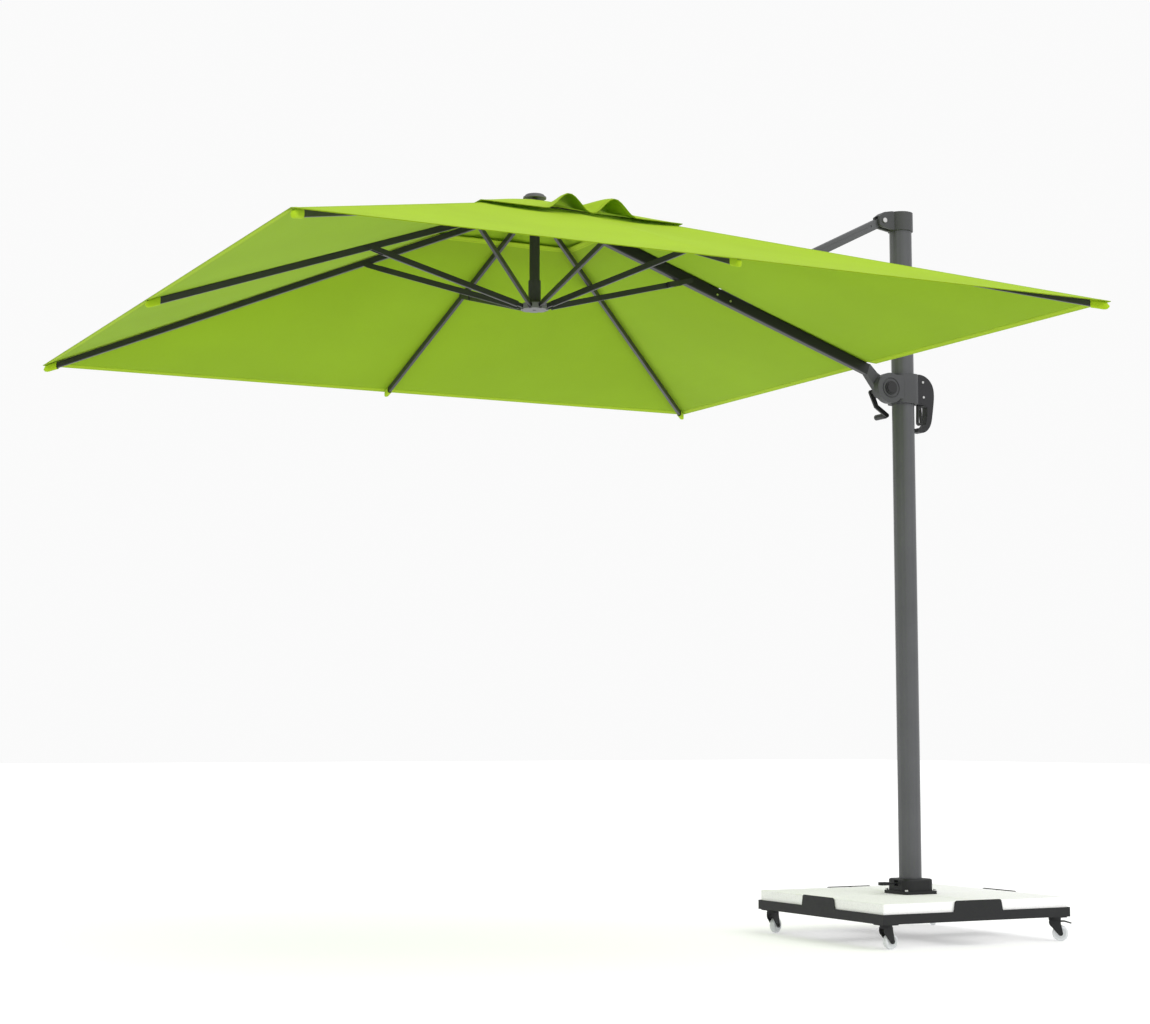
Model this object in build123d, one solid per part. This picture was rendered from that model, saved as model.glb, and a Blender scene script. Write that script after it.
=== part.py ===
"""A 3 m square cantilever parasol, in millimetres: floor at z = 0, mast axis on the z axis, canopy towards -x."""
from build123d import *
import os
from math import atan2, cos, degrees, hypot, sin, sqrt

os.makedirs("parts", exist_ok=True)

# ---- driving dimensions -------------------------------------------------------------------------
CANOPY_HALF = 1495        # half side of the square canopy, at its hem
CANOPY_X = -1680          # canopy axis
MID_SLOPE = 0.3465        # fall per unit run of the mid-side ribs
RIB_LINE_Z = 2780         # height of every rib's centreline at RIB_LINE_R from the canopy axis
RIB_LINE_R = 60
BOOM_LINE_Z = 2784        # the same for the boom
RIB_DEPTH, RIB_WIDTH = 24, 13
BOOM_DEPTH, BOOM_WIDTH = 45, 32
STRUT_DEPTH, STRUT_WIDTH = 22, 12
TUBE_WALL = 1.6
FABRIC = 1.5              # thickness of the cloth solids
APEX_Z = 2815             # apex of the main canopy's planes
VENT_HALF = 280           # half side of the square vent hole
CAP_HALF, CAP_APEX_Z, CAP_SLOPE = 410, 2822, 0.322

PIVOT_R = 46              # radius of the rib pivots on the top hub and of the strut pivots on the lower hub
MID_PIVOT_Z = 2735        # lower tier of the top hub: mid-side ribs and boom
CORNER_PIVOT_Z = 2790     # upper tier of the top hub: corner ribs
LOWER_PIVOT_Z = 2407
MID_PIN_R = 672           # strut pin on the mid-side ribs and on the boom
CORNER_PIN_R = 690        # strut pin on the corner ribs
CORNER_PIN_DROP = 10       # below the corner rib's centreline
RIB_END_MID, RIB_END_CORNER = 1484, 2084
RIB_START = 84
HEM_REACH_MID, HEM_REACH_CORNER = 1487, 2087   # where the mid-side and corner ribs meet the hem, at one height

LINK_X = -95              # stay pivot on the mast cap and boom pivot on the slider share this line
STAY_PIVOT_Z = 2908
SLIDER_Z = 2208           # boom pivot on the slider
ELBOW_X = -785            # where the stay meets the boom's lug

MAST_R = 45.5
MAST_BOTTOM, MAST_TOP = 150, 2873
CAP_TOP = 2950

BASE_HALF = 442.5
FRAME_BOTTOM, FRAME_TOP = 96, 133
PLATE = 4
SLAB_TOP = 172
SLAB_GAP = 4
TAB_TOP = 175
WHEEL_R, WHEEL_WIDTH = 31, 22
CASTOR_AT = 400
CASTOR_TRAIL = 20
CASTORS = {               # corner signs, and the way the fork trails, in degrees from +x
    "near_left": (-1, -1, 5),
    "near_right": (1, -1, -35),
    "far_right": (1, 1, 60),
    "far_left": (-1, 1, 25),
}
BRAKED = ("near_right", "far_right")
BRAKE_HINGE = (14, 77)     # in the fork's own frame, over the wheel
RIBS = {                  # azimuth about the canopy axis; the boom is the eighth, at 0
    "mast_far": 45,
    "far": 90,
    "outer_far": 135,
    "outer": 180,
    "outer_near": 225,
    "near": 270,
    "mast_near": 315,
}
PIN_R = 3.0
RUN = 0.05                # radial play of a pin in its hole
PLAY = 0.5                # side play between a fork and what it straddles

# ---- derived geometry ---------------------------------------------------------------------------
CORNER_SLOPE = MID_SLOPE * (HEM_REACH_MID - RIB_LINE_R) / (HEM_REACH_CORNER - RIB_LINE_R)
BOOM_COS = 1 / hypot(1, MID_SLOPE)
BOOM_SIN = MID_SLOPE * BOOM_COS
MID_PIN_Z = (MID_PIVOT_Z + LOWER_PIVOT_Z) / 2
ELBOW_Z = (STAY_PIVOT_Z + SLIDER_Z) / 2


def is_corner(azimuth):
    return azimuth % 90 != 0


def line_z(r, azimuth):
    """Height of the rib's centreline, or the boom's at azimuth 0, at radius r from the canopy axis."""
    top = BOOM_LINE_Z if azimuth == 0 else RIB_LINE_Z
    slope = CORNER_SLOPE if is_corner(azimuth) else MID_SLOPE
    return top - (r - RIB_LINE_R) * slope


def hub_pivot(azimuth):
    return PIVOT_R, (CORNER_PIVOT_Z if is_corner(azimuth) else MID_PIVOT_Z)


def strut_pin(azimuth):
    if is_corner(azimuth):
        return CORNER_PIN_R, line_z(CORNER_PIN_R, azimuth) - CORNER_PIN_DROP
    return MID_PIN_R, MID_PIN_Z


# ---- small builders -----------------------------------------------------------------------------
def solid_between(points, y0, y1):
    """A plate with the outline points (x, z), from y0 to y1."""
    outline = make_face(Polyline(*[(x, 0, z) for x, z in points], close=True))
    return Pos(0, y0, 0) * extrude(outline, amount=y1 - y0, dir=(0, 1, 0))


def rod_y(x, z, r, y0, y1):
    return Pos(x, (y0 + y1) / 2, z) * Rot(90, 0, 0) * Cylinder(r, y1 - y0)


def rod_x(y, z, r, x0, x1):
    return Pos((x0 + x1) / 2, y, z) * Rot(0, 90, 0) * Cylinder(r, x1 - x0)


def rod_z(x, y, r, z0, z1):
    return Pos(x, y, (z0 + z1) / 2) * Cylinder(r, z1 - z0)


def block(x0, x1, y0, y1, z0, z1):
    return Pos((x0 + x1) / 2, (y0 + y1) / 2, (z0 + z1) / 2) * Box(x1 - x0, y1 - y0, z1 - z0)


def bar(p, q, depth, width, corner=2.0, wall=0.0):
    """A straight bar in the xz plane from p to q, with rounded long edges, hollow if it has a wall."""
    length = hypot(q[0] - p[0], q[1] - p[1])
    body = Box(length, width, depth)
    body = fillet(body.edges().filter_by(Axis.X), corner)
    if wall:
        body -= Box(length + 2, width - 2 * wall, depth - 2 * wall)
    tilt = degrees(atan2(q[1] - p[1], q[0] - p[0]))
    return Pos((p[0] + q[0]) / 2, 0, (p[1] + q[1]) / 2) * Rot(0, -tilt, 0) * body


def along(p, q, distance):
    """The point at a distance from p towards q."""
    length = hypot(q[0] - p[0], q[1] - p[1])
    return p[0] + (q[0] - p[0]) * distance / length, p[1] + (q[1] - p[1]) * distance / length


def hull_plate(p, rp, q, rq, y0, y1):
    """A plate with a round end at p and at q, joined by straight sides."""
    dx, dz = q[0] - p[0], q[1] - p[1]
    length = hypot(dx, dz)
    nx, nz = -dz / length, dx / length
    web = solid_between([
        (p[0] + nx * rp, p[1] + nz * rp),
        (q[0] + nx * rq, q[1] + nz * rq),
        (q[0] - nx * rq, q[1] - nz * rq),
        (p[0] - nx * rp, p[1] - nz * rp),
    ], y0, y1)
    return web + rod_y(p[0], p[1], rp, y0, y1) + rod_y(q[0], q[1], rq, y0, y1)


def about_canopy(shape, azimuth):
    """Turns a shape drawn along +x from the canopy axis to its azimuth, and moves it there."""
    return Pos(CANOPY_X, 0, 0) * Rot(0, 0, azimuth) * shape


def save(name, *solids):
    """Writes one node, as separate solids."""
    flat = [s for item in solids for s in item.solids()]
    export_step(flat[0] if len(flat) == 1 else Compound(children=flat), f"parts/{name}.step")


# ---- base ---------------------------------------------------------------------------------------
def side_rail():
    """The near side rail: an upright web with a raised middle tab, and a flange under the slabs."""
    web = solid_between([
        (-BASE_HALF, FRAME_BOTTOM), (BASE_HALF, FRAME_BOTTOM), (BASE_HALF, FRAME_TOP),
        (116, FRAME_TOP), (108, TAB_TOP), (-108, TAB_TOP), (-116, FRAME_TOP), (-BASE_HALF, FRAME_TOP),
    ], -BASE_HALF, -BASE_HALF + PLATE)
    web = fillet(web.edges().filter_by(Axis.Y).filter_by(lambda e: e.center().Z > FRAME_TOP + 1), 10)
    flange = block(-BASE_HALF, BASE_HALF, -BASE_HALF, -BASE_HALF + 45, FRAME_BOTTOM, FRAME_BOTTOM + PLATE)
    rail = web + flange
    side = 3 * BASE_HALF
    mitre = Rot(0, 0, 45) * Box(side, side, side)
    return rail & (Pos(0, -side / sqrt(2), FRAME_TOP) * mitre)


def base():
    save("side_rails", *[Rot(0, 0, 90 * i) * side_rail() for i in range(4)])
    inner = BASE_HALF - 45
    z0, z1 = FRAME_BOTTOM, FRAME_BOTTOM + PLATE
    save("cross_rails",
         block(-inner, inner, -60, 60, z0, z1),
         block(-60, 60, -inner, -60, z0, z1),
         block(-60, 60, 60, inner, z0, z1))
    inside = BASE_HALF - PLATE - 3
    slab = block(SLAB_GAP, inside, SLAB_GAP, inside, z1, SLAB_TOP)
    slab = fillet(slab.edges().filter_by(Axis.Z), 6)
    slab -= block(0, 58, 0, 58, 0, SLAB_TOP + 1)
    slab = fillet(slab.edges().filter_by(Plane.XY).filter_by(lambda e: e.center().Z > SLAB_TOP - 1), 3)
    for name, turn in (("far_right", 0), ("far_left", 90), ("near_left", 180), ("near_right", 270)):
        save(f"slab_{name}", Rot(0, 0, turn) * slab)


def mast_foot():
    """The clamp block that the mast turns in, its spigot between the slabs, bolts, bush, pedal and knob."""
    z0 = SLAB_TOP + 0.5
    flange = fillet(block(-79, 79, -79, 79, z0, z0 + 12).edges().filter_by(Axis.Z), 16)
    housing = fillet(block(-70, 70, -70, 70, z0 + 12, 232).edges().filter_by(Axis.Z), 30)
    housing = fillet(housing.faces().sort_by(Axis.Z)[-1].edges(), 8)
    spigot = block(-54, 54, -54, 54, FRAME_BOTTOM + PLATE, z0)
    bore = rod_z(0, 0, MAST_R + 4, 110, 260)
    pedal_slot = block(-90, -56, -13, 13, 204, 226)
    screw_hole = rod_x(0, 206, 4.06, 40, 90)
    save("mast_foot", flange + housing + spigot - bore - pedal_slot - screw_hole)
    save("turn_bush", rod_z(0, 0, MAST_R + 4, 110, 230) - rod_z(0, 0, MAST_R + 0.08, MAST_BOTTOM - 2, 260)
         - screw_hole - block(-60, -40, -10, 10, 200, 230))
    bolts = []
    for x, y in ((-68, -68), (68, -68), (68, 68), (-68, 68)):
        head = Pos(x, y, z0 + 12 + 3.5) * extrude(RegularPolygon(7, 6), 3.5, both=True)
        bolts.append(head)
    save("foot_bolts", *bolts)
    pedal = block(-110, -58, -6, 6, 211, 218) + rod_y(-66, 214.5, 5, -12.6, 12.6)
    pad = fillet(block(-150, -108, -17, 17, 208, 220).edges().filter_by(Axis.Z), 12)
    save("lock_pedal", pedal + pad)
    knob = rod_x(0, 206, 4.0, 46.5, 84) + rod_x(0, 206, 12, 76, 98)
    save("clamp_knob", knob)


def castor(name):
    sx, sy, trail = CASTORS[name]
    at = Pos(sx * CASTOR_AT, sy * CASTOR_AT, 0) * Rot(0, 0, trail)
    top = FRAME_BOTTOM - 4
    axle = (CASTOR_TRAIL, WHEEL_R)
    head = rod_z(0, 0, 24, top - 9, top - 0.5)
    inner = WHEEL_WIDTH / 2 + 1.5
    legs = []
    for y0, y1 in ((-inner - 3, -inner), (inner, inner + 3)):
        leg = hull_plate((0, top - 20), 22, axle, 10, y0, y1)
        leg &= block(-40, 60, -40, 40, 0, top - 8)
        legs.append(leg)
    bridge = block(-22, 22, -inner - 3, inner + 3, top - 12, top - 8)
    pin = rod_y(axle[0], axle[1], 4, -inner - 5, inner + 5)
    kingpin = rod_z(0, 0, 6, top - 10, top + 3)
    fork = head + bridge + legs[0] + legs[1] + pin + kingpin
    save(f"castor_fork_{name}", at * fork)
    tyre = rod_y(axle[0], axle[1], WHEEL_R, -WHEEL_WIDTH / 2, WHEEL_WIDTH / 2)
    tyre = fillet(tyre.edges().filter_by(GeomType.CIRCLE), 6)
    for side in (-1, 1):
        face = side * WHEEL_WIDTH / 2
        tyre -= rod_y(*axle, 20, min(face, face - side * 3), max(face, face - side * 3))
    tyre -= rod_y(*axle, 4.06, -20, 20)
    save(f"castor_wheel_{name}", at * tyre)
    if name in BRAKED:
        hinge_x, hinge_z = BRAKE_HINGE
        hinge = rod_y(hinge_x, hinge_z, 3, -inner + 0.4, inner - 0.4)
        tread = solid_between([(hinge_x - 2, hinge_z - 3), (hinge_x + 22, hinge_z - 2), (hinge_x + 48, hinge_z - 9),
                               (hinge_x + 50, hinge_z - 5), (hinge_x + 23, hinge_z + 3), (hinge_x, hinge_z + 3)],
                              -11, 11)
        save(f"brake_lever_{name}", at * (hinge + tread))


def castor_plates():
    plates = []
    for sx, sy, _ in CASTORS.values():
        plate = fillet(Box(72, 72, 4).edges().filter_by(Axis.Z), 8)
        plate -= Cylinder(6.06, 10)
        plates.append(Pos(sx * CASTOR_AT, sy * CASTOR_AT, FRAME_BOTTOM - 2) * plate)
    save("castor_plates", *plates)


# ---- mast ---------------------------------------------------------------------------------------
def mast_section(r):
    """Round section with eight shallow flats."""
    return Rot(0, 0, 22.5) * (Circle(r) & RegularPolygon(r * 0.985, 8, major_radius=False))


def mast():
    tube = Pos(0, 0, MAST_BOTTOM) * extrude(mast_section(MAST_R), MAST_TOP + 40 - MAST_BOTTOM)
    tube -= rod_z(0, 0, MAST_R - 3, MAST_BOTTOM - 1, MAST_TOP + 41)
    save("mast_tube", tube)

    skirt = rod_z(0, 0, MAST_R + 6, MAST_TOP, CAP_TOP)
    nose = LINK_X - 24
    cap = skirt + solid_between([(0, MAST_TOP), (-50, MAST_TOP), (nose + 16, STAY_PIVOT_Z - 27),
                                 (nose, STAY_PIVOT_Z - 18), (nose, STAY_PIVOT_Z + 17), (nose + 24, STAY_PIVOT_Z + 35),
                                 (nose + 60, CAP_TOP), (0, CAP_TOP)], -24, 24)
    cap = cap.clean()
    cap -= Pos(0, 0, MAST_TOP - 1) * extrude(mast_section(MAST_R + 0.02), 41.0)
    cap -= solid_between([(LINK_X - 60, STAY_PIVOT_Z - 70), (-MAST_R - 8, STAY_PIVOT_Z - 70),
                          (-MAST_R - 8, STAY_PIVOT_Z + 20), (LINK_X - 60, STAY_PIVOT_Z + 20)], -11.5, 11.5)
    cap -= rod_y(LINK_X, STAY_PIVOT_Z, 6.0, -60, 60)
    save("mast_cap", cap)
    save("stay_bolt", rod_y(LINK_X, STAY_PIVOT_Z, 6.0, -24, 24)
         + rod_y(LINK_X, STAY_PIVOT_Z, 10, -29, -24) + rod_y(LINK_X, STAY_PIVOT_Z, 10, 24, 29))


# ---- slider, grip and crank ---------------------------------------------------------------------
SLIDER_HALF = 54
SLIDER_LOW, SLIDER_HIGH = SLIDER_Z - 56, SLIDER_Z + 66
CHEEK_GAP = 20.5
CHEEK_R, FAR_CHEEK_R = 62, 34
NEAR_FACE, FAR_FACE = 52, 34


def slider():
    """The collar that runs on the mast, with a wide cheek and a narrow one for the boom's root between them."""
    collar = fillet(block(-SLIDER_HALF, SLIDER_HALF, -SLIDER_HALF, SLIDER_HALF, SLIDER_LOW, SLIDER_HIGH)
                    .edges().filter_by(Axis.Z), 34)
    near_arm = block(LINK_X, 0, -NEAR_FACE, 0, SLIDER_Z - 40, SLIDER_Z + 56)
    far_arm = block(LINK_X, 0, 0, FAR_FACE, SLIDER_Z - 30, SLIDER_Z + 30)
    shell = collar + near_arm + far_arm + rod_y(LINK_X, SLIDER_Z, CHEEK_R, -NEAR_FACE, 0)
    shell += rod_y(LINK_X, SLIDER_Z, FAR_CHEEK_R, 0, FAR_FACE)
    bore = rod_z(0, 0, MAST_R + 3.4, SLIDER_LOW - 1, SLIDER_HIGH + 1)
    gap = block(LINK_X - 80, -SLIDER_HALF + 3, -CHEEK_GAP, CHEEK_GAP, SLIDER_Z - 80, SLIDER_Z + 80)
    pivot = rod_y(LINK_X, SLIDER_Z, 8.0, -60, 60)
    groove = rod_y(LINK_X, SLIDER_Z, 42, -NEAR_FACE - 1, 3 - NEAR_FACE)
    groove -= rod_y(LINK_X, SLIDER_Z, 36, -NEAR_FACE - 2, 4 - NEAR_FACE)
    save("slider_collar", shell - bore - gap - pivot - groove)
    liner = rod_z(0, 0, MAST_R + 3.4, SLIDER_LOW + 4, SLIDER_HIGH - 4) - rod_z(0, 0, MAST_R + 0.4, 0, 3000)
    save("slider_liner", liner)
    crank_boss = rod_y(LINK_X, SLIDER_Z, 20, FAR_FACE, FAR_FACE + 12)
    crank_boss -= rod_y(LINK_X, SLIDER_Z, 7.06, FAR_FACE, FAR_FACE + 20)
    save("boom_pivot_bolt", rod_y(LINK_X, SLIDER_Z, 8.0, -NEAR_FACE, FAR_FACE)
         + rod_y(LINK_X, SLIDER_Z, 27, -NEAR_FACE - 6, -NEAR_FACE)
         + rod_y(LINK_X, SLIDER_Z, 21, -NEAR_FACE - 9, -NEAR_FACE - 6), crank_boss)
    grip()
    crank()


def grip():
    """The handle that carries the slider lock, its squeeze lever and screws."""
    x0 = SLIDER_HALF
    z = SLIDER_Z
    outer = Spline((x0, 0, z + 70), (x0 + 34, 0, z + 69), (x0 + 64, 0, z + 53), (x0 + 83, 0, z + 26),
                   (x0 + 89, 0, z - 12), (x0 + 86, 0, z - 50), (x0 + 79, 0, z - 98), (x0 + 64, 0, z - 146),
                   (x0 + 36, 0, z - 168), (x0 + 8, 0, z - 166))
    rest = Polyline((x0 + 8, 0, z - 166), (x0 + 8, 0, z - 151), (x0 + 30, 0, z - 151), (x0 + 46, 0, z - 134),
                    (x0 + 54, 0, z - 100), (x0 + 54, 0, z - 62), (x0 + 46, 0, z - 54), (x0, 0, z - 54),
                    (x0, 0, z + 70))
    handle = extrude(make_face(outer + rest), amount=36, dir=(0, 1, 0))
    handle = Pos(0, -18, 0) * handle
    pivot = (x0 + 24, z - 48)
    tip = (x0 + 26, z - 126)
    handle -= block(x0 + 10, x0 + 44, -8, 8, z - 76, z - 36)
    handle -= rod_y(*pivot, 3.06, -20, 20)
    save("grip_handle", handle)
    lever = hull_plate(pivot, 8, tip, 12, -7, 7)
    lever -= hull_plate(along(pivot, tip, 26), 4, along(pivot, tip, 76), 6, -8, 8)
    save("grip_lever", lever + rod_y(*pivot, 3.0, -17, 17))
    screws = [rod_y(x0 + 33, z + 40, 5, -20.5, -18), rod_y(x0 + 36, z - 22, 5, -20.5, -18)]
    save("grip_screws", *screws)


CRANK_SIDE = 85
CRANK_DX, CRANK_DZ = 76, -90


def crank():
    """Crank on the far side of the boom pivot: a shaft, a bowed arm and a turning knob."""
    shaft = rod_y(LINK_X, SLIDER_Z, 7, FAR_FACE + 0.5, CRANK_SIDE)
    start = (LINK_X, SLIDER_Z)
    knee = (LINK_X + 24, SLIDER_Z - 56)
    end = (LINK_X + CRANK_DX, SLIDER_Z + CRANK_DZ)
    arm = hull_plate(start, 11, knee, 9, CRANK_SIDE, CRANK_SIDE + 9)
    arm += hull_plate(knee, 9, end, 9, CRANK_SIDE, CRANK_SIDE + 9)
    spindle = rod_y(end[0], end[1], 4, CRANK_SIDE + 9, CRANK_SIDE + 84)
    save("crank_arm", shaft + arm + spindle)
    knob = rod_y(end[0], end[1], 12, CRANK_SIDE + 10, CRANK_SIDE + 82)
    knob = fillet(knob.edges().filter_by(GeomType.CIRCLE), 4)
    save("crank_knob", knob - rod_y(end[0], end[1], 4.06, 0, 200))


# ---- stay and boom ------------------------------------------------------------------------------
def stay():
    top, elbow = (LINK_X, STAY_PIVOT_Z), (ELBOW_X, ELBOW_Z)
    body = bar(along(top, elbow, 40), along(elbow, top, 40), 40, 20, corner=4)
    for side in (-10, 10):
        body -= Pos(0, side, 0) * bar(along(top, elbow, 60), along(elbow, top, 60), 8, 4, corner=1)
    head = hull_plate(top, 16, along(top, elbow, 45), 16, -10, 10) - rod_y(*top, 6.05, -20, 20)
    forks = []
    for y0, y1 in ((-10, -6), (6, 10)):
        forks.append(hull_plate(elbow, 18, along(elbow, top, 45), 18, y0, y1))
    elbow_bolt = (rod_y(*elbow, 6.0, -10, 10) + rod_y(*elbow, 9, -14, -10) + rod_y(*elbow, 9, 10, 14))
    save("stay", body + head + forks[0] + forks[1]
         + hull_plate(along(elbow, top, 28), 8, along(elbow, top, 45), 16, -10, 10)
         - rod_y(*elbow, 6.0, -30, 30), elbow_bolt)


def boom_frame(s, n):
    """World x, z of a point s along the boom from the slider pivot and n square to it, upwards."""
    return LINK_X - s * BOOM_COS + n * BOOM_SIN, SLIDER_Z + s * BOOM_SIN + n * BOOM_COS


def boom_offset():
    """How far the boom's centreline passes above the slider pivot."""
    return (line_z(LINK_X - CANOPY_X, 0) - SLIDER_Z) * BOOM_COS


def boom_lug(foot):
    """The lug that the stay pulls on: a saddle on the boom's top, foot above its line, and an upright eye."""
    s = (LINK_X - ELBOW_X) * BOOM_COS + (ELBOW_Z - SLIDER_Z) * BOOM_SIN
    n = (ELBOW_Z - SLIDER_Z) * BOOM_COS - (LINK_X - ELBOW_X) * BOOM_SIN
    web = solid_between([boom_frame(*sn) for sn in (
        (s - 58, foot), (s + 58, foot), (s + 14, n - 7), (s - 14, n - 7))], -5.5, 5.5)
    eye = rod_y(ELBOW_X, ELBOW_Z, 16, -5.5, 5.5) - rod_y(ELBOW_X, ELBOW_Z, 6.06, -20, 20)
    saddle = solid_between([boom_frame(*sn) for sn in (
        (s - 78, foot), (s + 78, foot), (s + 74, foot + 4), (s - 74, foot + 4))], -14, 14)
    save("boom_lug", web + saddle + eye - rod_y(ELBOW_X, ELBOW_Z, 6.06, -20, 20))


def boom():
    off = boom_offset()
    start_r = RIB_START + 6
    root_end = 104
    p = (CANOPY_X + start_r, line_z(start_r, 0))
    q = boom_frame(root_end, off)
    tube = bar(p, q, BOOM_DEPTH, BOOM_WIDTH, corner=5, wall=2.2)
    pin_x, pin_z = CANOPY_X + MID_PIN_R, MID_PIN_Z
    tube -= rod_y(pin_x, pin_z, PIN_R + RUN, -40, 40)
    nose = hub_fitting(0, start_r, BOOM_DEPTH)
    save("boom_tube", tube, about_canopy(nose, 0))

    root = solid_between([boom_frame(*sn) for sn in (
        (-12, -36), (30, -26), (root_end, off - 22.5), (root_end, off + 22.5), (60, off + 2), (0, 35.5))], -16, 16)
    root += rod_y(LINK_X, SLIDER_Z, 37, -CHEEK_GAP + 0.5, CHEEK_GAP - 0.5)
    save("boom_root", root - rod_y(LINK_X, SLIDER_Z, 8.06, -30, 30))

    boom_lug(off + BOOM_DEPTH / 2)
    bolts = []
    for r in (790, 850):
        x, z = CANOPY_X + r, line_z(r, 0) - 6
        bolts += [rod_y(x, z, 4.5, -18.5, -16), rod_y(x, z, 4.5, 16, 18.5)]
    save("boom_bolts", *bolts)


# ---- canopy frame -------------------------------------------------------------------------------
def hub_fitting(azimuth, start_r, depth):
    """The end fitting of a rib: an eye on the hub pivot and a neck up to the tube's end."""
    r, z = hub_pivot(azimuth)
    eye = (r, z)
    base_z = line_z(start_r, azimuth)
    slope = CORNER_SLOPE if is_corner(azimuth) else MID_SLOPE
    half = depth / 2 - 1
    c = cos(atan2(slope, 1))
    t = sin(atan2(slope, 1))
    mouth = [(start_r + t * half, base_z + c * half), (start_r - t * half, base_z - c * half)]
    neck = solid_between([(r - 6, z + 2), mouth[0], mouth[1], (r + 4, z - 7)], -4, 4)
    return neck + rod_y(*eye, 8.5, -4, 4) - rod_y(*eye, PIN_R + RUN, -10, 10)


def rib(name, azimuth):
    end_r = RIB_END_CORNER if is_corner(azimuth) else RIB_END_MID
    p = (RIB_START, line_z(RIB_START, azimuth))
    q = (end_r - 14, line_z(end_r - 14, azimuth))
    tube = bar(p, q, RIB_DEPTH, RIB_WIDTH, corner=2.5, wall=TUBE_WALL)
    tube -= rod_y(*strut_pin(azimuth), PIN_R + RUN, -20, 20)
    tip = bar(q, (end_r, line_z(end_r, azimuth)), RIB_DEPTH, RIB_WIDTH, corner=2.5)
    fitting = hub_fitting(azimuth, RIB_START, RIB_DEPTH)
    save(f"rib_{name}", about_canopy(tube, azimuth), about_canopy(tip, azimuth), about_canopy(fitting, azimuth))


def strut(name, azimuth):
    """A strut from its pivot on the lower hub to a fork that straddles the rib."""
    on_boom = azimuth == 0
    low = (PIVOT_R, LOWER_PIVOT_Z)
    pin = strut_pin(azimuth)
    inner = (BOOM_WIDTH if on_boom else RIB_WIDTH) / 2 + PLAY
    fork_length = 92 if on_boom else 76
    thick = 3
    tongue = hull_plate(low, 7, along(low, pin, 40), 7, -4.5, 4.5)
    body = bar(along(low, pin, 26), along(pin, low, fork_length - 4), STRUT_DEPTH, STRUT_WIDTH, corner=2.5)
    cheek_block = bar(along(pin, low, fork_length + 14), along(pin, low, fork_length - 14), STRUT_DEPTH,
                      2 * inner, corner=1)
    shape = tongue + body
    for y0, y1 in ((-inner - thick, -inner), (inner, inner + thick)):
        shape += hull_plate(pin, 9, along(pin, low, fork_length), 10, y0, y1)
    shape += cheek_block & hull_plate(pin, 40, along(pin, low, fork_length + 30), 40, -inner, inner)
    shape += rod_y(*pin, PIN_R, -inner - thick - 1.5, inner + thick + 1.5)
    shape += rod_y(*low, 2.5, -7, 7)
    save(f"strut_{name}", about_canopy(shape, azimuth))


def top_hub():
    """Two tiers of pivots: the corner ribs hang from the upper one and fold down past the lower one."""
    low, high = 2718, 2798
    hub = rod_z(0, 0, 58, low, high)
    for azimuth in range(0, 360, 45):
        slot = block(26, 70, -4.5, 4.5, low - 1, high + 1)
        if is_corner(azimuth):
            slot += block(33, 70, -8.5, 8.5, low - 1, high - 38)
        hub -= Rot(0, 0, azimuth) * slot
        hub -= Rot(0, 0, azimuth) * rod_y(*hub_pivot(azimuth), PIN_R, -13, 13)
    hub += rod_z(0, 0, 9, high, CAP_APEX_Z + 2)
    save("top_hub", Pos(CANOPY_X, 0, 0) * hub)
    pins = [about_canopy(rod_y(*hub_pivot(a), PIN_R, -13, 13), a) for a in range(0, 360, 45)]
    save("hub_pins", *pins)
    button = rod_z(0, 0, 44, CAP_APEX_Z + 2, CAP_APEX_Z + 8) + rod_z(0, 0, 38, CAP_APEX_Z + 8, CAP_APEX_Z + 18)
    button = fillet(button.faces().sort_by(Axis.Z)[-1].edges(), 8)
    save("finial", Pos(CANOPY_X, 0, 0) * button)
    pole = rod_z(0, 0, 19.5, 2509, low) + rod_z(0, 0, 14, 2491, 2509)
    save("centre_pole", Pos(CANOPY_X, 0, 0) * pole)


def lower_hub():
    """The sliding hub: open slots for the strut tongues, and long grooves, because the corner struts shift."""
    low, high = 2396, 2418
    floor = low + 2
    hub = rod_z(0, 0, 52, low, high)
    for azimuth in range(0, 360, 45):
        slot = block(27, 70, -5.5, 5.5, floor, high + 1)
        slot += block(33, 70, -8, 8, LOWER_PIVOT_Z - 5, LOWER_PIVOT_Z + 7)
        slot += block(PIVOT_R, 70, -5.5, 5.5, low - 1, floor)
        hub -= Rot(0, 0, azimuth) * slot
    hub -= rod_z(0, 0, 7.5, low - 1, floor + 6)
    sleeve = rod_z(0, 0, 23.5, high, 2508) - rod_z(0, 0, 18, 2480, 2509)
    save("lower_hub", Pos(CANOPY_X, 0, 0) * hub, Pos(CANOPY_X, 0, 0) * sleeve)


# ---- cloth --------------------------------------------------------------------------------------
def pyramid(half, apex_z, slope):
    """A square pyramid from its apex down to the hem plane."""
    hem_z = apex_z - half * slope
    corners = [(-half, -half, hem_z), (half, -half, hem_z), (half, half, hem_z), (-half, half, hem_z)]
    apex = (0, 0, apex_z)
    sides = [make_face(Polyline(corners[i], corners[(i + 1) % 4], apex, close=True)) for i in range(4)]
    floor = make_face(Polyline(*corners, close=True))
    return Solid(Shell(sides + [floor]))


def cloth_shell(half, apex_z, slope):
    """The cloth between a pyramid and the same pyramid lowered by the cloth's thickness."""
    outside = pyramid(half, apex_z, slope)
    inside = pyramid(half + 40, apex_z - FABRIC, slope)
    return outside - inside


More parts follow.
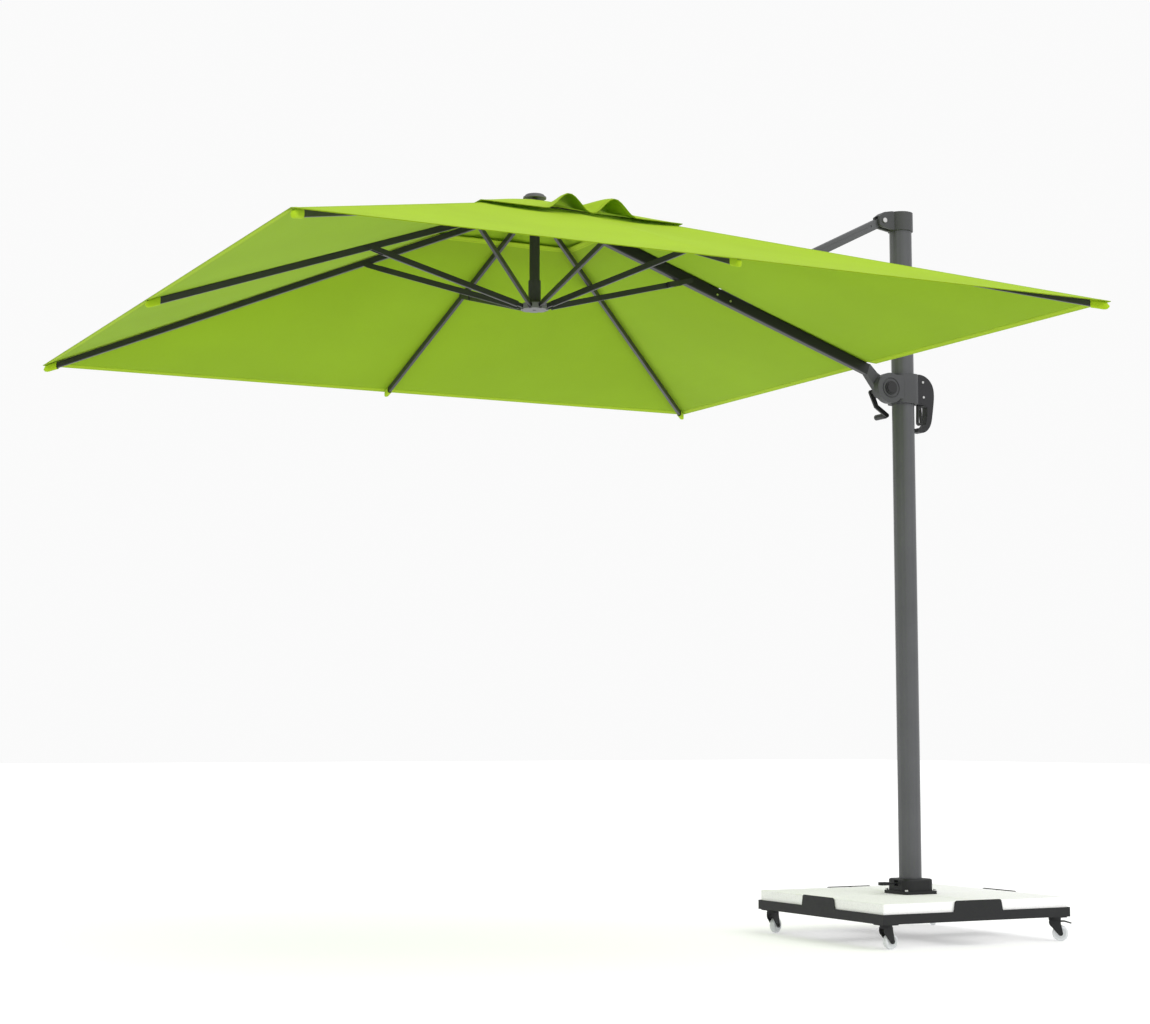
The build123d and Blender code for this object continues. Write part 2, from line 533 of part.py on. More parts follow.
def canopy():
    main = cloth_shell(CANOPY_HALF, APEX_Z, MID_SLOPE)
    main -= Box(2 * VENT_HALF, 2 * VENT_HALF, 8000)
    main -= block(VENT_HALF - 1, CANOPY_HALF + 40, -BOOM_WIDTH / 2 - 4, BOOM_WIDTH / 2 + 4, 0, 4000)
    save("canopy", Pos(CANOPY_X, 0, 0) * main)
    cap = cloth_shell(CAP_HALF, CAP_APEX_Z, CAP_SLOPE) - Cylinder(10, 8000)
    cap -= block(50, CAP_HALF + 40, -BOOM_WIDTH / 2 - 4, BOOM_WIDTH / 2 + 4, 0, 4000)
    save("vent_canopy", Pos(CANOPY_X, 0, 0) * cap)


base()
castor_plates()
for castor_name in CASTORS:
    castor(castor_name)
mast_foot()
mast()
slider()
stay()
boom()
top_hub()
lower_hub()
for rib_name, rib_azimuth in RIBS.items():
    rib(rib_name, rib_azimuth)
    strut(rib_name, rib_azimuth)
strut("boom", 0)
canopy()
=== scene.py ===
"""Looks of a 3 m square cantilever parasol, in metres, in the CAD model's own frame."""
from math import cos, pi, radians, sin, sqrt, tan

import bpy
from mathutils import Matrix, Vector, noise


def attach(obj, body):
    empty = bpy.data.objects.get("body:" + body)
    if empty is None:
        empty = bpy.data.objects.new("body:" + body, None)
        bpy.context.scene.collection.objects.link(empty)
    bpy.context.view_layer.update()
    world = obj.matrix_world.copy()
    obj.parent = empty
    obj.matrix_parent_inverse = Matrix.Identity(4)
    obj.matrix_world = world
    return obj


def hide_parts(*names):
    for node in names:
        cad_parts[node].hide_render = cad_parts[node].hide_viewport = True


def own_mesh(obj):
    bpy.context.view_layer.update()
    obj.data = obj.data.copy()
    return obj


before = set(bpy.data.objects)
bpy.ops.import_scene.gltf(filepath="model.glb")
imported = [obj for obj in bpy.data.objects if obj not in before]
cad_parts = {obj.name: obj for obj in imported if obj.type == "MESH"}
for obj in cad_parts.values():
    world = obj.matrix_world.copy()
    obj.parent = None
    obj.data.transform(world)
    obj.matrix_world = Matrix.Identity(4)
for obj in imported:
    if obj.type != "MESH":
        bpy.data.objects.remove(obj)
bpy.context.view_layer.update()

# ---- canopy, as in the CAD model ----------------------------------------------------------------
AXIS_X = -1.680           # canopy axis
CANOPY_HALF = 1.495       # half side of the hem
APEX_Z = 2.815
SLOPE = 0.3465
VENT_HALF = 0.280
CAP_HALF = 0.410
CAP_APEX_Z = 2.822
CAP_SLOPE = 0.322
CAP_HOLE = 0.012
RIB_LINE_R = 0.060
RIB_LINE_Z = 2.780
BOOM_LINE_Z = 2.784
CORNER_SLOPE = 0.24394
BOOM_HALF_DEPTH = 0.0238  # upright, to the boom's top face
RIB_END_MID = 1.484
RIB_END_CORNER = 2.084
JOINT_SHADE_HALF = 0.0035       # the slabs' edges at the joints, from the base's middle lines; the stone within it gets painted shade
HUB_SLEEVE_Z = 2.419      # the lower hub's sleeve starts here
SECTORS = {               # azimuths of the ribs, and of the boom at 0
    "boom": 0,
    "mast_far": 45,
    "far": 90,
    "outer_far": 135,
    "outer": 180,
    "outer_near": 225,
    "near": 270,
    "mast_near": 315,
}

# ---- how the cloth lies -------------------------------------------------------------------------
SPLIT = tan(radians(22.5))   # cloth panels meet half way between two ribs
SAG = 0.020               # between two ribs
WRINKLE = 0.0016
BAND = 0.018              # half width of the flat band over a rib or the boom
TENT_REACH = 0.045        # how far beside the boom the cloth is lifted
BOOM_CLEAR = 0.0025
SLIT = (0.800, 0.966)     # opening over the boom's lug, measured from the canopy axis
WAVE_HEIGHT = 0.056
WAVE_WIDTH = 0.185
CALM = 0.12               # share of the wave on the sides that the wind didn't lift
WAVE_SHIFT = 0.035        # the cap is tied down a little beside the rib
HEM_WIDTH = 0.026
HEM_HALF_THICK = 0.0014
SHEET_HALF_THICK = 0.0005
COLUMNS = 28
BAND_COLUMNS = 4
ROWS = 56
CAP_ROWS = 26

# ---- cloth details ------------------------------------------------------------------------------
LIME = (0.46, 0.675, 0.022)
# painted shade: the underside is a darker copy of the same lime cloth
LIME_UNDER_SHADED = (0.30, 0.475, 0.0125)
WEAVE = 0.0011            # spacing of the threads
STITCH = 0.0042           # one stitch and the gap after it
STITCH_INSET = 0.004      # from the band's edge
STITCH_HALF = 0.0007
THREAD_SHARE = 0.72       # of a stitch's length
SEAM_WIDTH = 0.020
SEAM_TOP, SEAM_UNDER = 0.0014, -0.0004   # from the middle of the cloth
POCKET_LENGTH = 0.052
POCKET_HALF = (0.0095, 0.0145)   # half its width and its depth
POCKET_RINGS = 9
POCKET_SIDES = 24

# ---- camera -------------------------------------------------------------------------------------
CAMERA_AT = (-5.2187, -7.3182, 0.7934)
CAMERA_PITCH = 5.8848
CAMERA_YAW = 26.8814
CAMERA_LENS = 68.51


def is_corner(name):
    return SECTORS[name] % 90 != 0


def body_for(name):
    return "boom" if name == "boom" else f"rib_{name}"


def outward(azimuth):
    return Vector((cos(radians(azimuth)), sin(radians(azimuth)), 0))


def sideways(azimuth):
    return Vector((-sin(radians(azimuth)), cos(radians(azimuth)), 0))


def smooth(x):
    x = min(max(x, 0.0), 1.0)
    return x * x * (3 - 2 * x)


# ---- camera, floor and light --------------------------------------------------------------------
def add_camera():
    data = bpy.data.cameras.new("camera")
    data.sensor_width = 36
    data.lens = CAMERA_LENS
    data.clip_end = 200
    camera = bpy.data.objects.new("camera", data)
    camera.location = CAMERA_AT
    camera.rotation_euler = (radians(90 + CAMERA_PITCH), 0, radians(-CAMERA_YAW))
    bpy.context.collection.objects.link(camera)
    bpy.context.scene.camera = camera


def add_sun(name, direction, strength, softness):
    """Even light from one side; softness is the angle that its source fills, in degrees."""
    data = bpy.data.lights.new(name, "SUN")
    data.energy = strength
    data.angle = radians(softness)
    light = bpy.data.objects.new(name, data)
    light.rotation_euler = Vector(direction).to_track_quat("-Z", "Y").to_euler()
    bpy.context.collection.objects.link(light)


def add_studio():
    bpy.context.scene.view_settings.view_transform = "Standard"
    world = bpy.data.worlds.new("studio")
    bpy.context.scene.world = world
    world.use_nodes = True
    background = world.node_tree.nodes["Background"]
    background.inputs["Color"].default_value = (1.0, 1.0, 1.0, 1)
    background.inputs["Strength"].default_value = 0.96
    corners = [(-40, -40, 0), (40, -40, 0), (40, 60, 0), (-40, 60, 0)]
    floor = mesh_object("studio_floor", corners, [(0, 1, 2, 3)])
    floor.data.materials.append(floor_paint())
    add_sun("key", (-0.35, 1.0, -1.1), 1.0, 50)


# ---- meshes -------------------------------------------------------------------------------------
def mesh_object(name, points, faces):
    mesh = bpy.data.meshes.new(name)
    mesh.from_pydata([tuple(p) for p in points], [], faces)
    mesh.validate()
    for face in mesh.polygons:
        face.use_smooth = True
    thing = bpy.data.objects.new(name, mesh)
    bpy.context.collection.objects.link(thing)
    return thing


def grid_faces(rows, columns, skip=None):
    """Quads of a grid of points; skip(row, column) leaves one out."""
    faces = []
    for i in range(rows - 1):
        for j in range(columns - 1):
            if skip and skip(i, j):
                continue
            a = i * columns + j
            faces.append((a, a + 1, a + columns + 1, a + columns))
    return faces


def rim_faces(faces, below):
    """Walls round the open edges of a grid, down to its copy whose points come `below` places later."""
    edges = [(face[k], face[(k + 1) % 4]) for face in faces for k in range(4)]
    used = set(edges)
    return [(b, a, a + below, b + below) for a, b in edges if (b, a) not in used]


def strip(name, rails, material):
    """A closed band of cloth. Each of the four rails is a line of points: left and right, top then bottom.
    Its UV map runs along the band and across it, in metres."""
    count = len(rails[0])
    points = [p for rail in rails for p in rail]
    faces = []
    for i in range(count - 1):
        for k in range(4):
            a = k * count + i
            b = ((k + 1) % 4) * count + i
            faces.append((a, b, b + 1, a + 1))
    faces.append(tuple(k * count for k in (3, 2, 1, 0)))
    faces.append(tuple(k * count + count - 1 for k in range(4)))
    thing = mesh_object(name, points, faces)
    along = [0.0]
    for i in range(1, count):
        along.append(along[-1] + (Vector(rails[0][i]) - Vector(rails[0][i - 1])).length)
    width = (Vector(rails[1][0]) - Vector(rails[0][0])).length
    uv = thing.data.uv_layers.new(name="band")
    for loop in thing.data.loops:
        rail, i = divmod(loop.vertex_index, count)
        uv.data[loop.index].uv = (along[i], 0.0 if rail in (0, 3) else width)
    thing.data.set_sharp_from_angle(angle=radians(40))
    thing.data.materials.append(material)
    return thing


# ---- materials ----------------------------------------------------------------------------------
class Paint:
    """A node material with one Principled shader, and short ways to feed it."""

    def __init__(self, name, roughness, metallic=0.0):
        self.material = bpy.data.materials.new(name)
        self.material.use_nodes = True
        self.nodes = self.material.node_tree.nodes
        self.links = self.material.node_tree.links
        self.shader = self.nodes["Principled BSDF"]
        self.shader.inputs["Roughness"].default_value = roughness
        self.shader.inputs["Metallic"].default_value = metallic
        self.shader.inputs["Specular IOR Level"].default_value = 0.3
        self.at = self.nodes.new("ShaderNodeTexCoord").outputs["Object"]
        self.height = None

    def link(self, output, node, socket):
        self.links.new(output, node.inputs[socket])

    def noise(self, scale, detail=4.0, stretch=None):
        texture = self.nodes.new("ShaderNodeTexNoise")
        texture.inputs["Scale"].default_value = scale
        texture.inputs["Detail"].default_value = detail
        at = self.at
        if stretch:
            mapping = self.nodes.new("ShaderNodeMapping")
            mapping.inputs["Scale"].default_value = stretch
            self.link(at, mapping, "Vector")
            at = mapping.outputs["Vector"]
        self.link(at, texture, "Vector")
        return texture.outputs["Fac"]

    def ramp(self, value, stops):
        """Maps a value to colours; stops are (position, colour)."""
        node = self.nodes.new("ShaderNodeValToRGB")
        while len(node.color_ramp.elements) < len(stops):
            node.color_ramp.elements.new(0.5)
        for element, (position, colour) in zip(node.color_ramp.elements, stops):
            element.position = position
            element.color = (*colour, 1)
        self.link(value, node, "Fac")
        return node.outputs["Color"]

    def maths(self, operation, a, b):
        node = self.nodes.new("ShaderNodeMath")
        node.operation = operation
        for socket, value in ((0, a), (1, b)):
            if isinstance(value, (int, float)):
                node.inputs[socket].default_value = value
            else:
                self.link(value, node, socket)
        return node.outputs[0]

    def fraction(self, value):
        node = self.nodes.new("ShaderNodeMath")
        node.operation = "FRACT"
        self.link(value, node, 0)
        return node.outputs[0]

    def mix(self, factor, a, b):
        """Colour a where the factor is 0, and the fixed colour b where it is 1."""
        node = self.nodes.new("ShaderNodeMix")
        node.data_type = "RGBA"
        self.link(factor, node, "Factor")
        self.link(a, node, "A")
        node.inputs["B"].default_value = (*b, 1)
        return node.outputs["Result"]

    def vary(self, value, low, high, socket="Roughness"):
        node = self.nodes.new("ShaderNodeMapRange")
        node.inputs["To Min"].default_value = low
        node.inputs["To Max"].default_value = high
        self.link(value, node, "Value")
        self.link(node.outputs["Result"], self.shader, socket)

    def bump(self, value, strength, distance):
        """Adds a layer of relief; distance is its height in metres."""
        node = self.nodes.new("ShaderNodeBump")
        node.inputs["Strength"].default_value = strength
        node.inputs["Distance"].default_value = distance
        self.link(value, node, "Height")
        if self.height is not None:
            self.link(self.height, node, "Normal")
        self.height = node.outputs["Normal"]
        self.link(self.height, self.shader, "Normal")


def mottled(colour, spread):
    """A darker and a lighter stop around a colour."""
    dark = tuple(c * (1 - spread) for c in colour)
    light = tuple(min(c * (1 + spread), 1.0) for c in colour)
    return [(0.3, dark), (0.7, light)]


def powder_coat(name, colour, roughness=0.42, metallic=0.0):
    """Baked powder coat: orange-peel relief, and a faint cloudiness."""
    paint = Paint(name, roughness, metallic)
    clouds = paint.noise(9.0)
    paint.link(paint.ramp(clouds, mottled(colour, 0.10)), paint.shader, "Base Color")
    paint.vary(paint.noise(60.0), roughness - 0.06, roughness + 0.10)
    paint.bump(paint.noise(700.0, 2.0), 0.35, 0.0003)
    return paint.material


def extrusion(name, colour, roughness=0.36):
    """Coated aluminium tube, with faint lines along its length."""
    paint = Paint(name, roughness, 0.55)
    lines = paint.noise(420.0, 3.0, (1, 1, 0.012))
    paint.link(paint.ramp(paint.noise(5.0), mottled(colour, 0.08)), paint.shader, "Base Color")
    paint.vary(lines, roughness - 0.05, roughness + 0.10)
    paint.bump(lines, 0.25, 0.00012)
    return paint.material


def moulded(name, colour, roughness=0.48, grain=650.0):
    """Moulded plastic with a fine spark-eroded grain."""
    paint = Paint(name, roughness)
    paint.link(paint.ramp(paint.noise(14.0), mottled(colour, 0.08)), paint.shader, "Base Color")
    paint.vary(paint.noise(40.0), roughness - 0.08, roughness + 0.08)
    paint.bump(paint.noise(grain, 2.0), 0.45, 0.00025)
    return paint.material


def two_tone(name, lower, upper, level):
    """Moulded plastic whose upper part, above a height, is a sleeve of another colour."""
    paint = Paint(name, 0.52)
    split = paint.nodes.new("ShaderNodeSeparateXYZ")
    paint.link(paint.at, split, "Vector")
    above = paint.maths("GREATER_THAN", split.outputs["Z"], level)
    tint = paint.ramp(paint.noise(14.0), mottled(lower, 0.08))
    paint.link(paint.mix(above, tint, upper), paint.shader, "Base Color")
    paint.vary(paint.noise(40.0), 0.44, 0.60)
    paint.bump(paint.noise(650.0, 2.0), 0.45, 0.00025)
    return paint.material


def bright_steel(name):
    paint = Paint(name, 0.28, 1.0)
    paint.link(paint.ramp(paint.noise(30.0), mottled((0.56, 0.56, 0.55), 0.12)), paint.shader, "Base Color")
    paint.vary(paint.noise(220.0), 0.20, 0.42)
    paint.bump(paint.noise(900.0), 0.20, 0.0001)
    return paint.material


def white_stone(name):
    """Cast stone slab: nearly white, with fine sand and a few pores, and painted shade, near black, in the
    joints between slabs.
    """
    paint = Paint(name, 0.72)
    split = paint.nodes.new("ShaderNodeSeparateXYZ")
    paint.link(paint.at, split, "Vector")
    from_x = paint.maths("ABSOLUTE", split.outputs["X"], 0)
    from_y = paint.maths("ABSOLUTE", split.outputs["Y"], 0)
    painted_joint_shade = paint.maths("LESS_THAN", paint.maths("MINIMUM", from_x, from_y), JOINT_SHADE_HALF)
    sand = paint.noise(380.0, 6.0)
    grades = [(0.30, (0.74, 0.74, 0.74)), (0.46, (0.90, 0.90, 0.895)), (0.70, (0.95, 0.95, 0.945))]
    colour = paint.ramp(sand, grades)
    # painted shade: the stone is coloured near black along the joints between slabs, standing in for the
    # shadow in the gaps
    paint.link(paint.mix(painted_joint_shade, colour, (0.10, 0.10, 0.10)), paint.shader, "Base Color")
    paint.bump(sand, 0.50, 0.0006)
    paint.bump(paint.noise(25.0), 0.20, 0.0015)
    return paint.material


def clear_wheel(name):
    """Milky translucent wheel."""
    paint = Paint(name, 0.30)
    paint.link(paint.ramp(paint.noise(35.0), mottled((0.80, 0.82, 0.83), 0.06)), paint.shader, "Base Color")
    paint.vary(paint.noise(120.0), 0.22, 0.42)
    paint.bump(paint.noise(500.0), 0.20, 0.0002)
    paint.shader.inputs["Transmission Weight"].default_value = 0.25
    return paint.material


def floor_paint():
    """Pale and plain; a little of its own light keeps the soft shadow as pale as in a product shot."""
    paint = Paint("studio_floor", 0.9)
    paint.link(paint.ramp(paint.noise(0.6), mottled((0.74, 0.74, 0.74), 0.01)), paint.shader, "Base Color")
    paint.shader.inputs["Specular IOR Level"].default_value = 0.0
    paint.shader.inputs["Emission Color"].default_value = (1, 1, 1, 1)
    paint.shader.inputs["Emission Strength"].default_value = 0.36
    return paint.material


def weave(paint, spacing):
    """Over-and-under relief of threads along x and y."""
    split = paint.nodes.new("ShaderNodeSeparateXYZ")
    paint.link(paint.at, split, "Vector")
    waves = []
    for axis in ("X", "Y"):
        turns = paint.maths("MULTIPLY", split.outputs[axis], 2 * pi / spacing)
        waves.append(paint.maths("SINE", turns, 0))
    return paint.maths("MULTIPLY", waves[0], waves[1])


def cloth(name, colour, stitched_width=None):
    """Woven polyester that lets some light through. Stitched cloth has a row of thread along each edge."""
    paint = Paint(name, 0.80)
    thread = weave(paint, WEAVE)
    clouds = paint.noise(2.2, 5.0)
    slubs = paint.noise(160.0, 3.0, (1, 0.06, 1))
    mixed = paint.maths("ADD", paint.maths("MULTIPLY", clouds, 0.75), paint.maths("MULTIPLY", slubs, 0.25))
    tint = paint.ramp(mixed, mottled(colour, 0.05))
    paint.shader.inputs["Sheen Weight"].default_value = 0.05
    paint.shader.inputs["Sheen Roughness"].default_value = 0.5
    paint.shader.inputs["Specular IOR Level"].default_value = 0.12
    if stitched_width:
        tint = stitch(paint, tint, colour, stitched_width)
    paint.link(tint, paint.shader, "Base Color")
    paint.bump(thread, 0.30, 0.00018)
    glow = paint.nodes.new("ShaderNodeBsdfTranslucent")
    paint.link(tint, glow, "Color")
    blend = paint.nodes.new("ShaderNodeMixShader")
    blend.inputs["Fac"].default_value = 0.25
    paint.links.new(paint.shader.outputs["BSDF"], blend.inputs[1])
    paint.links.new(glow.outputs["BSDF"], blend.inputs[2])
    paint.link(blend.outputs["Shader"], paint.nodes["Material Output"], "Surface")
    return paint.material


def stitch(paint, tint, colour, width):
    """Rows of thread near both edges of a band, from its UV map in metres."""
    uv = paint.nodes.new("ShaderNodeUVMap")
    uv.uv_map = "band"
    split = paint.nodes.new("ShaderNodeSeparateXYZ")
    paint.link(uv.outputs["UV"], split, "Vector")
    from_middle = paint.maths("ABSOLUTE", paint.maths("SUBTRACT", split.outputs["Y"], width / 2), 0)
    from_row = paint.maths("ABSOLUTE", paint.maths("SUBTRACT", from_middle, width / 2 - STITCH_INSET), 0)
    on_row = paint.maths("LESS_THAN", from_row, STITCH_HALF)
    along = paint.fraction(paint.maths("DIVIDE", split.outputs["X"], STITCH))
    on_thread = paint.maths("LESS_THAN", along, THREAD_SHARE)
    mask = paint.maths("MULTIPLY", on_row, on_thread)
    paint.bump(mask, 0.8, 0.0005)
    return paint.mix(mask, tint, tuple(c * 0.55 for c in colour))


# ---- cloth shapes -------------------------------------------------------------------------------
def boom_top(x):
    return BOOM_LINE_Z - (x - RIB_LINE_R) * SLOPE + BOOM_HALF_DEPTH


def over_boom(x, y, z):
    """Lifts the cloth where it would pass through the boom."""
    if x <= 0.08:
        return z
    reach = min(TENT_REACH, x * SPLIT - BAND - 0.012)
    need = boom_top(x) + BOOM_CLEAR - z
    return z + max(need, 0) * (1 - smooth((abs(y) - BAND) / max(reach, 0.02)))


def main_z(x, y):
    """Height of the main canopy at x, y from the canopy axis."""
    far, near = max(abs(x), abs(y)), min(abs(x), abs(y))
    z = APEX_Z - far * SLOPE
    run = (far - VENT_HALF) / (CANOPY_HALF - VENT_HALF)
    between = 4 * (near / far) * (1 - near / far)
    z -= SAG * between * sin(pi * min(max(run, 0), 1)) ** 0.8
    ripple = noise.noise(Vector((x * 3.1, y * 3.1, 0.7))) + 0.5 * noise.noise(Vector((x * 8, y * 8, 3.1)))
    z += WRINKLE * ripple * between * min(4 * run * (1 - run) + 0.15, 1)
    return over_boom(x, y, z)


def side_of(x, y):
    """Distance along the side of the square, measured from the middle of that side."""
    if abs(y) > abs(x):
        return x if y < 0 else -x
    return y if x > 0 else -y


def cap_z(x, y):
    """Height of the vent cap: a low pyramid whose hem lifts in two waves on each side."""
    far = max(abs(x), abs(y))
    along = side_of(x, y) - WAVE_SHIFT * far / CAP_HALF
    wave = sin(pi * min(abs(along) / (WAVE_WIDTH * far / CAP_HALF + 1e-6), 1)) ** 2
    grow = smooth((far / CAP_HALF - 0.35) / 0.65)
    z = CAP_APEX_Z - far * CAP_SLOPE - 0.006 * (1 - wave) * grow
    edge = smooth((far - abs(side_of(x, y))) / 0.06)
    lift = WAVE_HEIGHT if -y >= abs(x) else WAVE_HEIGHT * CALM
    return over_boom(x, y, z + lift * wave * grow ** 1.5 * edge)


def across(t, reach):
    """Lateral place of column t, from -1 to 1: a flat band in the middle, then out to reach."""
    inner = BAND_COLUMNS / COLUMNS * 2
    band = min(BAND, reach * 0.4)
    if abs(t) <= inner:
        return band * t / inner
    share = (abs(t) - inner) / (1 - inner)
    return (1 if t > 0 else -1) * (band + share * (reach - band))


def panel_point(name, far, t):
    """x, y from the canopy axis, at distance far (square measure) and column t of one panel."""
    azimuth = SECTORS[name]
    if not is_corner(name):
        place = outward(azimuth) * far + sideways(azimuth) * across(t, far * SPLIT)
        return place.x, place.y
    step = across(t, far * (1 - SPLIT))
    side = azimuth - 45 if t <= 0 else azimuth + 45
    lateral = far - abs(step)
    place = outward(side) * far + sideways(side) * (lateral if t <= 0 else -lateral)
    return place.x, place.y


def columns():
    return [-1 + 2 * j / COLUMNS for j in range(COLUMNS + 1)]


def panel_row(name, far, height, lift=0.0):
    row = []
    for t in columns():
        x, y = panel_point(name, far, t)
        row.append((AXIS_X + x, y, height(x, y) + lift))
    return row


def panel(prefix, name, start, end, rows, height, materials, slit=None):
    """One panel of cloth, over one rib or the boom: a closed thin sheet with an upper and a lower face. The
    lower face takes the second material, a darker copy of the cloth with painted shade.
    """
    steps = [start + (end - start) * i / rows for i in range(rows + 1)]
    middle = COLUMNS / 2

    def in_slit(i, j):
        return slit and abs(j + 0.5 - middle) < BAND_COLUMNS and slit[0] < steps[i] and steps[i + 1] < slit[1]

    top = [p for far in steps for p in panel_row(name, far, height, SHEET_HALF_THICK)]
    under = [p for far in steps for p in panel_row(name, far, height, -SHEET_HALF_THICK)]
    top_faces = grid_faces(rows + 1, COLUMNS + 1, in_slit)
    under_faces = [tuple(len(top) + k for k in reversed(face)) for face in top_faces]
    walls = rim_faces(top_faces, len(top))
    thing = mesh_object(f"{prefix}_{name}", top + under, top_faces + under_faces + walls)
    for material in materials:
        thing.data.materials.append(material)
    for face in thing.data.polygons:
        face.material_index = 1 if len(top_faces) <= face.index < 2 * len(top_faces) else 0
    thing.data.set_sharp_from_angle(angle=radians(40))
    return thing


def edge_band(prefix, name, inner, outer, height, material):
    """A doubled hem along one panel, between two square distances."""
    thick = HEM_HALF_THICK
    rails = [panel_row(name, inner, height, thick), panel_row(name, outer, height, thick),
             panel_row(name, outer, height, -thick), panel_row(name, inner, height, -thick)]
    return strip(f"{prefix}_{name}", rails, material)


def seam(name, start, end, height, material):
    """A felled seam on top of the cloth, over one corner rib."""
    steps = [start + (end - start) * i / ROWS for i in range(ROWS + 1)]
    inner = 2 * BAND_COLUMNS / COLUMNS
    share = SEAM_WIDTH / 2 / BAND

    def rail(t, lift):
        line = []
        for far in steps:
            x, y = panel_point(name, far, t)
            line.append((AXIS_X + x, y, height(x, y) + lift))
        return line

    t = inner * share
    rails = [rail(-t, SEAM_TOP), rail(t, SEAM_TOP), rail(t, SEAM_UNDER), rail(-t, SEAM_UNDER)]
    return strip(f"seam_{name}", rails, material)


def folds_with(thing, name):
    """The cloth moves with its rib, on a mesh of its own."""
    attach(thing, body_for(name))
    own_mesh(thing)


def rib_line(name, r):
    corner = is_corner(name)
    return RIB_LINE_Z - (r - RIB_LINE_R) * (CORNER_SLOPE if corner else SLOPE)


def pocket(name, material):
    """The sewn pocket that caps a rib's tip."""
    corner = is_corner(name)
    end = RIB_END_CORNER + 0.026 if corner else RIB_END_MID + 0.012
    start = end - POCKET_LENGTH - (0.012 if corner else 0)
    out, side = outward(SECTORS[name]), sideways(SECTORS[name])
    points = []
    for i in range(POCKET_RINGS):
        share = i / (POCKET_RINGS - 1)
        r = start + (end - start) * share
        close = sqrt(max(1 - max(share - 0.62, 0) ** 2 / 0.38 ** 2, 0.02))
        mouth = 1 + 0.10 * (1 - share) ** 3
        for k in range(POCKET_SIDES):
            angle = 2 * pi * k / POCKET_SIDES
            c, s = cos(angle), sin(angle)
            wide = POCKET_HALF[0] * mouth * close * abs(c) ** 0.6 * (1 if c > 0 else -1)
            deep = POCKET_HALF[1] * mouth * close * abs(s) ** 0.6 * (1 if s > 0 else -1)
            z = rib_line(name, r) + deep
            centre = Vector((AXIS_X, 0, 0)) + out * r + side * wide
            points.append((centre.x, centre.y, z))
    faces = []
    for i in range(POCKET_RINGS - 1):
        for k in range(POCKET_SIDES):
            a, b = i * POCKET_SIDES + k, i * POCKET_SIDES + (k + 1) % POCKET_SIDES
            faces.append((a, b, b + POCKET_SIDES, a + POCKET_SIDES))
    last = (POCKET_RINGS - 1) * POCKET_SIDES
    faces.append(tuple(last + k for k in range(POCKET_SIDES)))
    thing = mesh_object(f"pocket_{name}", points, faces)
    thing.data.materials.append(material)
    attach(thing, body_for(name))
    return thing


def add_canopy():
    fabric = cloth("lime_fabric", LIME)
    # the underside material is painted shade, a darker copy of the lime cloth
    shaded_underside = cloth("lime_underside_painted_shade", LIME_UNDER_SHADED)
    hem_cloth = cloth("lime_hem", tuple(c * 0.94 for c in LIME), HEM_WIDTH)
    seam_cloth = cloth("lime_seam", tuple(c * 0.97 for c in LIME), SEAM_WIDTH)
    for name in SECTORS:
        slit = SLIT if name == "boom" else None
        main = panel("cloth", name, VENT_HALF, CANOPY_HALF, ROWS, main_z, (fabric, shaded_underside), slit)
        hem = edge_band("hem", name, CANOPY_HALF - HEM_WIDTH, CANOPY_HALF, main_z, hem_cloth)
        vent_edge = edge_band("vent_edge", name, VENT_HALF, VENT_HALF + HEM_WIDTH, main_z, hem_cloth)
        extras = [hem, vent_edge]
        if is_corner(name):
            extras.append(seam(name, VENT_HALF, CANOPY_HALF - HEM_WIDTH, main_z, seam_cloth))
        cap = panel("cap", name, CAP_HOLE, CAP_HALF, CAP_ROWS, cap_z, (fabric, shaded_underside))
        cap_hem = edge_band("cap_hem", name, CAP_HALF - HEM_WIDTH * 0.6, CAP_HALF, cap_z, hem_cloth)
        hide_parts("canopy")
        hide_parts("vent_canopy")
        for thing in (main, cap, cap_hem, *extras):
            folds_with(thing, name)
        if name != "boom":
            extras.append(pocket(name, fabric))


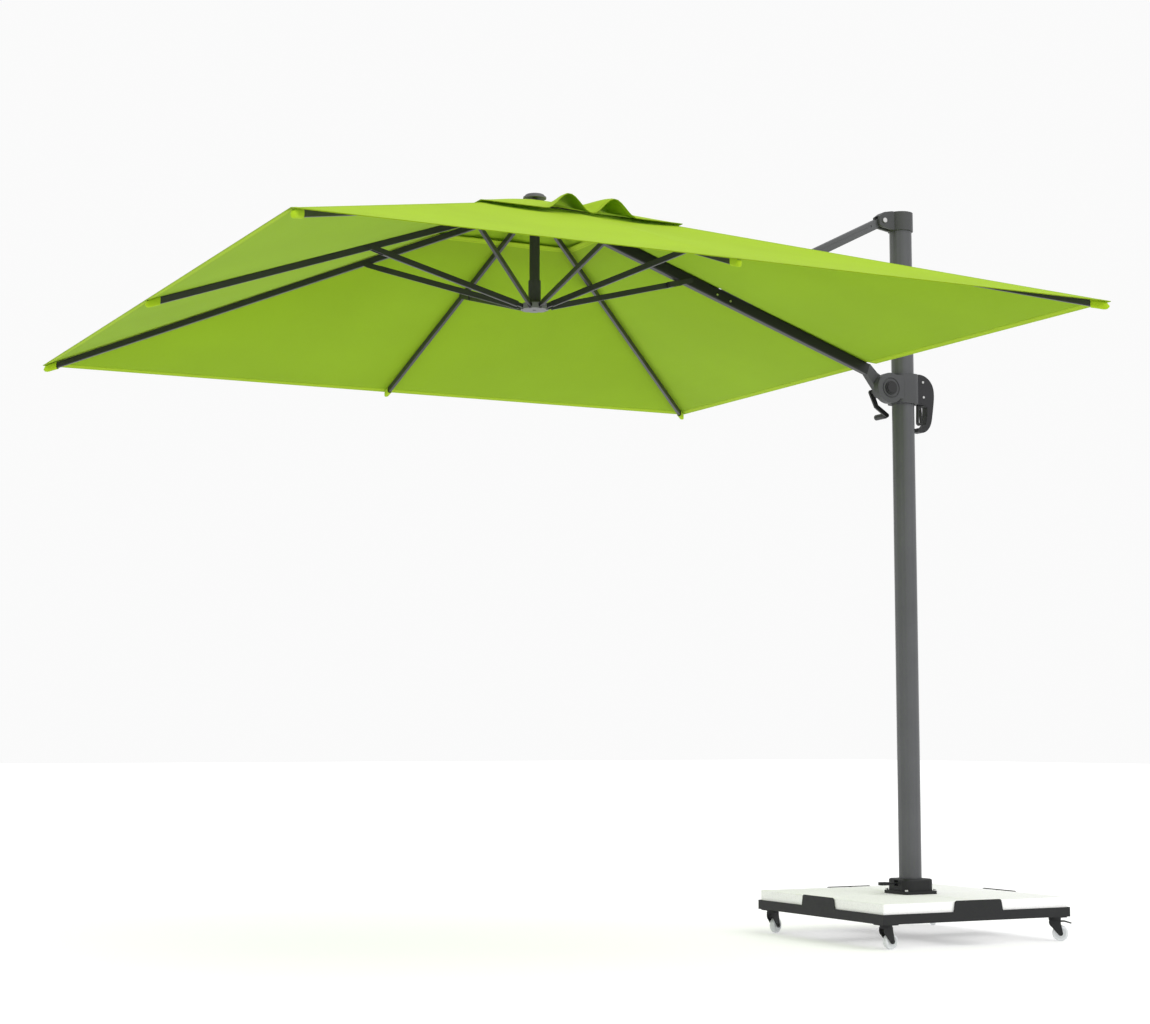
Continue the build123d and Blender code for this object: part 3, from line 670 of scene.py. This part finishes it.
# ---- finishes of the CAD nodes ------------------------------------------------------------------
def finishes():
    frame_steel = powder_coat("charcoal_steel", (0.013, 0.0135, 0.0145), 0.52)
    mast_paint = extrusion("anthracite_mast", (0.105, 0.107, 0.112))
    arm_paint = extrusion("anthracite_arm", (0.050, 0.052, 0.052))
    boom_paint = extrusion("anthracite_boom", (0.028, 0.029, 0.029))
    casting = powder_coat("anthracite_casting", (0.060, 0.061, 0.064), 0.50)
    black = moulded("black_plastic", (0.020, 0.020, 0.021), 0.42)
    grip = moulded("grip_plastic", (0.020, 0.020, 0.022), 0.52, 420.0)
    hub = moulded("hub_plastic", (0.12, 0.12, 0.125), 0.52)
    hub_and_sleeve = two_tone("lower_hub_plastic", (0.15, 0.15, 0.155), (0.035, 0.035, 0.037), HUB_SLEEVE_Z)
    steel = bright_steel("zinc_steel")
    stone = white_stone("white_stone")
    wheel = clear_wheel("milky_wheel")
    return {
        frame_steel: ["side_rails", "cross_rails", "castor_plates", "mast_foot", "lock_pedal", "brake_lever",
                      "castor_fork"],
        mast_paint: ["mast_tube", "stay"],
        arm_paint: ["rib_", "strut_", "centre_pole"],
        boom_paint: ["boom_tube"],
        casting: ["mast_cap", "slider_collar", "boom_root", "boom_lug"],
        black: ["clamp_knob", "crank_knob", "grip_lever", "turn_bush", "slider_liner", "boom_pivot_bolt",
                "crank_arm"],
        grip: ["grip_handle"],
        hub: ["top_hub", "finial"],
        hub_and_sleeve: ["lower_hub"],
        steel: ["foot_bolts", "boom_bolts", "hub_pins", "grip_screws", "stay_bolt"],
        stone: ["slab_"],
        wheel: ["castor_wheel"],
    }


def paint_nodes():
    """Gives each CAD node the finish whose longest matching name fits it."""
    by_prefix = {prefix: paint for paint, names in finishes().items() for prefix in names}
    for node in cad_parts:
        thing = bpy.data.objects[node] if isinstance(node, str) else node
        fits = [prefix for prefix in by_prefix if thing.name.startswith(prefix)]
        if not fits:
            continue
        paint = by_prefix[max(fits, key=len)]
        if not thing.material_slots:
            thing.data.materials.append(paint)
        for place in thing.material_slots:
            place.material = paint


add_camera()
add_studio()
paint_nodes()
add_canopy()
